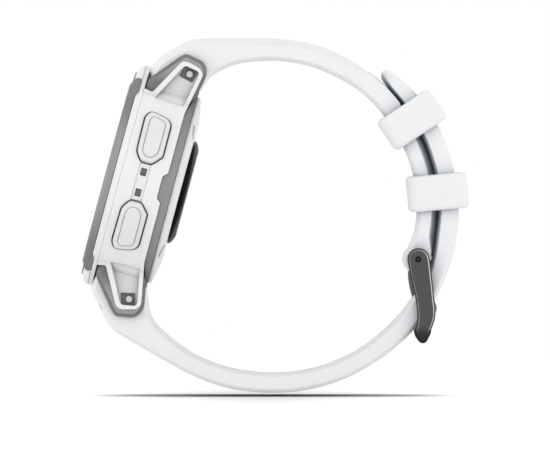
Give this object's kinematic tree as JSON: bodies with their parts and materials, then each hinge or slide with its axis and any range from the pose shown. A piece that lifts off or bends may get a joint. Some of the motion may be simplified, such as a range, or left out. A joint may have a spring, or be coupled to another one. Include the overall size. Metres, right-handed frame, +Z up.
{
  "type": "gps running watch",
  "caption": "White GPS running watch on its buckled silicone strap, with sprung buttons, spring bars, strap keepers and a pin buckle.",
  "frame": {"origin": "middle of the wrist space inside the buckled strap", "axes": "+X from the display side towards the buckle, the longest extent; +Y from the 3 o'clock side towards the 9 o'clock side; +Z up, towards 12 o'clock; the display faces -X, tilted 15.1 degrees upwards"},
  "size_m": [0.0684, 0.0409, 0.0626],
  "materials": {
    "white_plastic": "satin white moulded plastic",
    "button_plastic": "satin white moulded plastic",
    "grey_polymer": "satin mid-grey fibre-filled polymer",
    "white_silicone": "matt white silicone",
    "display_glass": "clear chemically hardened glass",
    "display_panel": "reflective monochrome display",
    "sensor_glass": "polished black window",
    "dark_plastic": "dark grey satin plastic",
    "black_rubber": "black seal rubber",
    "gold": "gold plating",
    "circuit_board": "green solder mask with shield cans",
    "battery_foil": "laminated foil pouch",
    "steel": "bright stainless steel",
    "dark_metal": "black-coated screw steel",
    "buckle_metal": "grey-coated stainless steel, brushed"
  },
  "bodies": {
    "case_and_strap": {"middle_case": "grey_polymer", "bezel_cap_right": "grey_polymer", "bezel_cap_left": "grey_polymer", "side_plate_right": "white_plastic", "side_plate_left": "white_plastic", "bezel": "white_plastic", "bezel_ring": "white_plastic", "back_cover": "white_plastic", "display_glass": "display_glass", "display_panel": "display_panel", "display_gasket": "black_rubber", "back_gasket": "black_rubber", "gps_antenna": "gold", "main_board": "circuit_board", "battery": "battery_foil", "vibration_motor": "steel", "sensor_rim": "dark_plastic", "charging_port": "dark_plastic", "sensor_window": "sensor_glass", "back_screw_1": "dark_metal", "back_screw_2": "dark_metal", "back_screw_3": "dark_metal", "back_screw_4": "dark_metal", "charge_contact_1": "gold", "charge_contact_2": "gold", "charge_contact_3": "gold", "charge_contact_4": "gold", "start_button_seal": "black_rubber", "start_button_spring": "steel", "back_button_seal": "black_rubber", "back_button_spring": "steel", "light_button_seal": "black_rubber", "light_button_spring": "steel", "up_button_seal": "black_rubber", "up_button_spring": "steel", "down_button_seal": "black_rubber", "down_button_spring": "steel", "upper_bar_tube": "steel", "upper_bar_spring": "steel", "lower_bar_tube": "steel", "lower_bar_spring": "steel", "buckle_strap": "white_silicone", "holed_strap": "white_silicone"},
    "start_button_body": {"start_button": "button_plastic"},
    "back_button_body": {"back_button": "button_plastic"},
    "light_button_body": {"light_button": "button_plastic"},
    "up_button_body": {"up_button": "button_plastic"},
    "down_button_body": {"down_button": "button_plastic"},
    "upper_bar_tip_left_body": {"upper_bar_tip_left": "steel"},
    "upper_bar_tip_right_body": {"upper_bar_tip_right": "steel"},
    "lower_bar_tip_left_body": {"lower_bar_tip_left": "steel"},
    "lower_bar_tip_right_body": {"lower_bar_tip_right": "steel"},
    "buckle": {"buckle_frame": "buckle_metal", "buckle_pin": "steel"},
    "tongue": {"buckle_tongue": "buckle_metal"},
    "upper_keeper_body": {"upper_keeper": "white_silicone"},
    "lower_keeper_body": {"lower_keeper": "white_silicone"}
  },
  "joints": [
    {"name": "start_button_press", "type": "slide", "parent": "case_and_strap", "child": "start_button_body", "axis": [-0.1022, 0.9198, -0.3788], "range_m": [0, 0.0006], "stiffness_N_per_m": 1500, "springref_m": -0.0006, "deforming": ["start_button_spring"]},
    {"name": "back_button_press", "type": "slide", "parent": "case_and_strap", "child": "back_button_body", "axis": [0.1022, 0.9198, 0.3788], "range_m": [0, 0.0006], "stiffness_N_per_m": 1500, "springref_m": -0.0006, "deforming": ["back_button_spring"]},
    {"name": "light_button_press", "type": "slide", "parent": "case_and_strap", "child": "light_button_body", "axis": [-0.1303, -0.866, -0.4827], "range_m": [0, 0.0006], "stiffness_N_per_m": 1500, "springref_m": -0.0006, "deforming": ["light_button_spring"]},
    {"name": "up_button_press", "type": "slide", "parent": "case_and_strap", "child": "up_button_body", "axis": [0, -1, 0], "range_m": [0, 0.0006], "stiffness_N_per_m": 1500, "springref_m": -0.0006, "deforming": ["up_button_spring"]},
    {"name": "down_button_press", "type": "slide", "parent": "case_and_strap", "child": "down_button_body", "axis": [0.1303, -0.866, 0.4827], "range_m": [0, 0.0006], "stiffness_N_per_m": 1500, "springref_m": -0.0006, "deforming": ["down_button_spring"]},
    {"name": "upper_bar_left_tip_slide", "type": "slide", "parent": "case_and_strap", "child": "upper_bar_tip_left_body", "axis": [0, -1, 0], "range_m": [0, 0.0019], "stiffness_N_per_m": 400, "springref_m": -0.001, "deforming": ["upper_bar_spring"]},
    {"name": "upper_bar_right_tip_slide", "type": "slide", "parent": "case_and_strap", "child": "upper_bar_tip_right_body", "axis": [0, 1, 0], "range_m": [0, 0.0019], "stiffness_N_per_m": 400, "springref_m": -0.001, "deforming": ["upper_bar_spring"]},
    {"name": "lower_bar_left_tip_slide", "type": "slide", "parent": "case_and_strap", "child": "lower_bar_tip_left_body", "axis": [0, -1, 0], "range_m": [0, 0.0019], "stiffness_N_per_m": 400, "springref_m": -0.001, "deforming": ["lower_bar_spring"]},
    {"name": "lower_bar_right_tip_slide", "type": "slide", "parent": "case_and_strap", "child": "lower_bar_tip_right_body", "axis": [0, 1, 0], "range_m": [0, 0.0019], "stiffness_N_per_m": 400, "springref_m": -0.001, "deforming": ["lower_bar_spring"]},
    {"name": "buckle_hinge", "type": "hinge", "parent": "case_and_strap", "child": "buckle", "pos_m": [0.02253, 0, -0.00923], "axis": [0, -1, 0], "range_deg": [0, 4]},
    {"name": "tongue_hinge", "type": "hinge", "parent": "case_and_strap", "child": "tongue", "pos_m": [0.02253, 0, -0.00923], "axis": [0, -1, 0], "range_deg": [0, 4]},
    {"name": "upper_keeper_slide", "type": "hinge", "parent": "case_and_strap", "child": "upper_keeper_body", "pos_m": [-0.00165, 0, 0.00008], "axis": [0, -1, 0], "range_deg": [-6.5, 8]},
    {"name": "lower_keeper_slide", "type": "hinge", "parent": "case_and_strap", "child": "lower_keeper_body", "pos_m": [-0.00165, 0, 0.00008], "axis": [0, -1, 0], "range_deg": [-6, 6.5]}
  ],
  "couplings": [
    {"joint": "tongue_hinge", "follows": "buckle_hinge", "ratio": 1}
  ]
}
